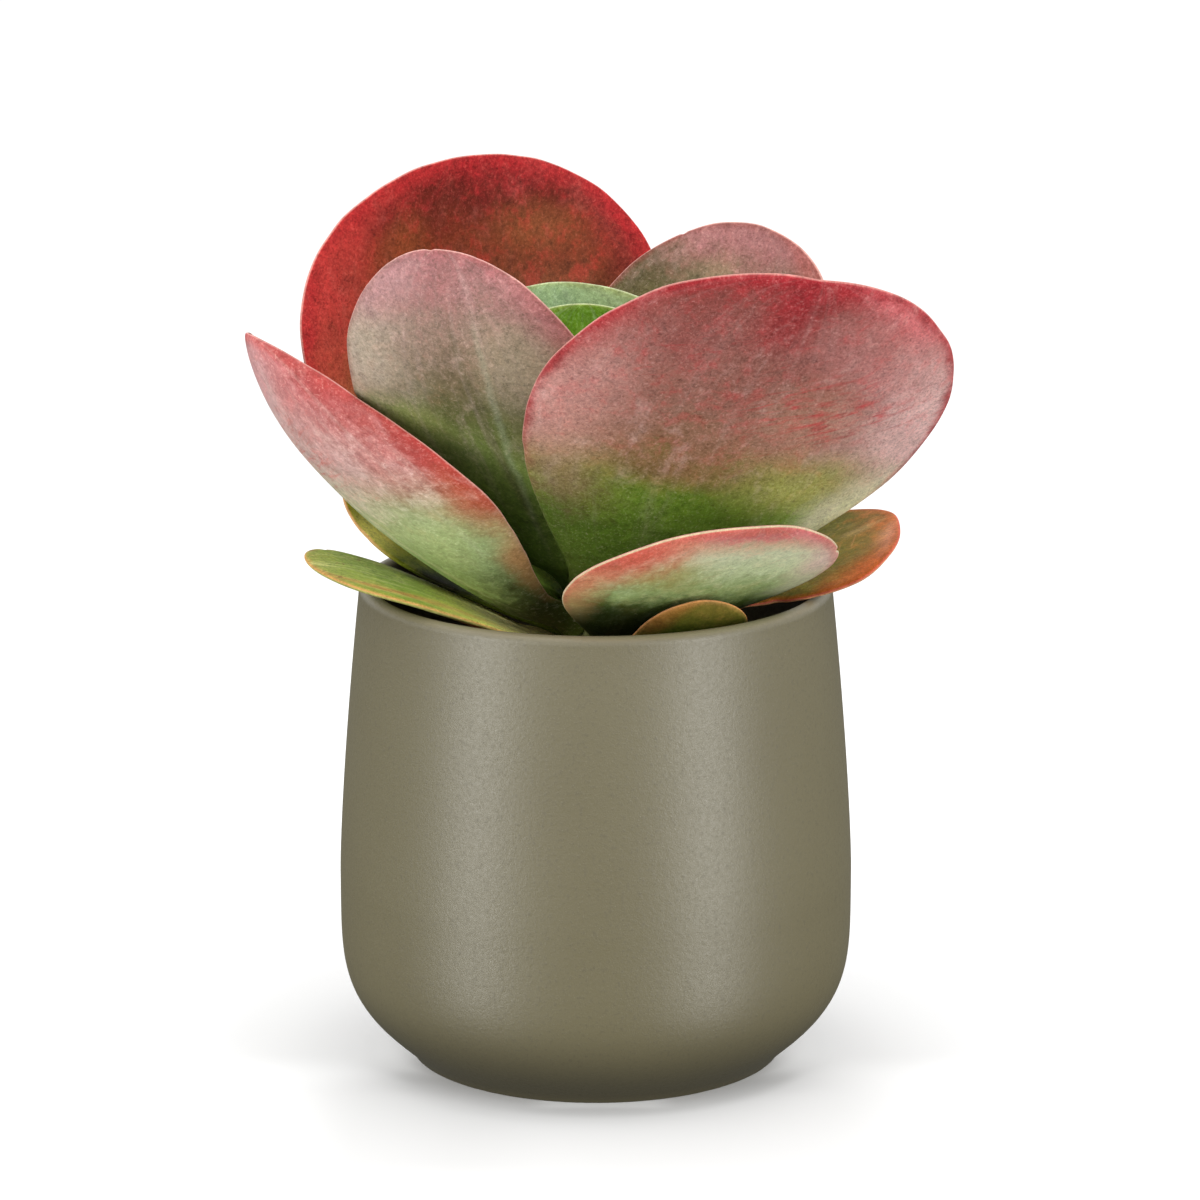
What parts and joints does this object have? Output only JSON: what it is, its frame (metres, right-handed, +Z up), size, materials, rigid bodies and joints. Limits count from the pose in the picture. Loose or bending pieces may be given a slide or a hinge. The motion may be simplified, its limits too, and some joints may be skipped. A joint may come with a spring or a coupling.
{
  "type": "paddle plant in pot",
  "caption": "Paddle plant with a rosette of upright, cupped, paddle-shaped leaves on a short stem, standing in soil in a bellied ceramic pot.",
  "frame": {"origin": "centre of the pot's flat foot, on the surface that it stands on", "axes": "+Z up along the pot's axis, -Y towards the plant's front, +X to the right as seen from the front"},
  "size_m": [0.1906, 0.1622, 0.2417],
  "materials": {
    "pot": "matte olive khaki",
    "soil": "rough dark potting soil",
    "stem": "satin green brown",
    "red_leaf": "satin crimson and olive",
    "rose_leaf": "powdery rose above green",
    "grey_leaf": "powdery grey green with a pink top",
    "green_leaf": "satin green with a pale margin",
    "olive_leaf": "glossy olive with an orange margin",
    "dark_leaf": "dark red"
  },
  "bodies": {
    "root": {"pot": "pot", "soil": "soil", "stem": "stem", "leaf_old_dark": "dark_leaf", "leaf_over_left_rim": "olive_leaf", "leaf_low_right_back": "olive_leaf", "leaf_small_front_right": "olive_leaf", "leaf_low_back": "olive_leaf", "leaf_low_back_left": "olive_leaf", "leaf_low_front_right": "rose_leaf", "leaf_left_folded": "rose_leaf", "leaf_over_right_rim": "olive_leaf", "leaf_back_left": "red_leaf", "leaf_front_right": "rose_leaf", "leaf_front_left": "grey_leaf", "leaf_back_right": "rose_leaf", "leaf_centre_back": "green_leaf", "leaf_centre_front": "green_leaf", "leaf_centre_inner": "green_leaf", "leaf_inner_front": "green_leaf", "leaf_bud_back": "green_leaf", "leaf_bud_front": "green_leaf"}
  },
  "joints": []
}
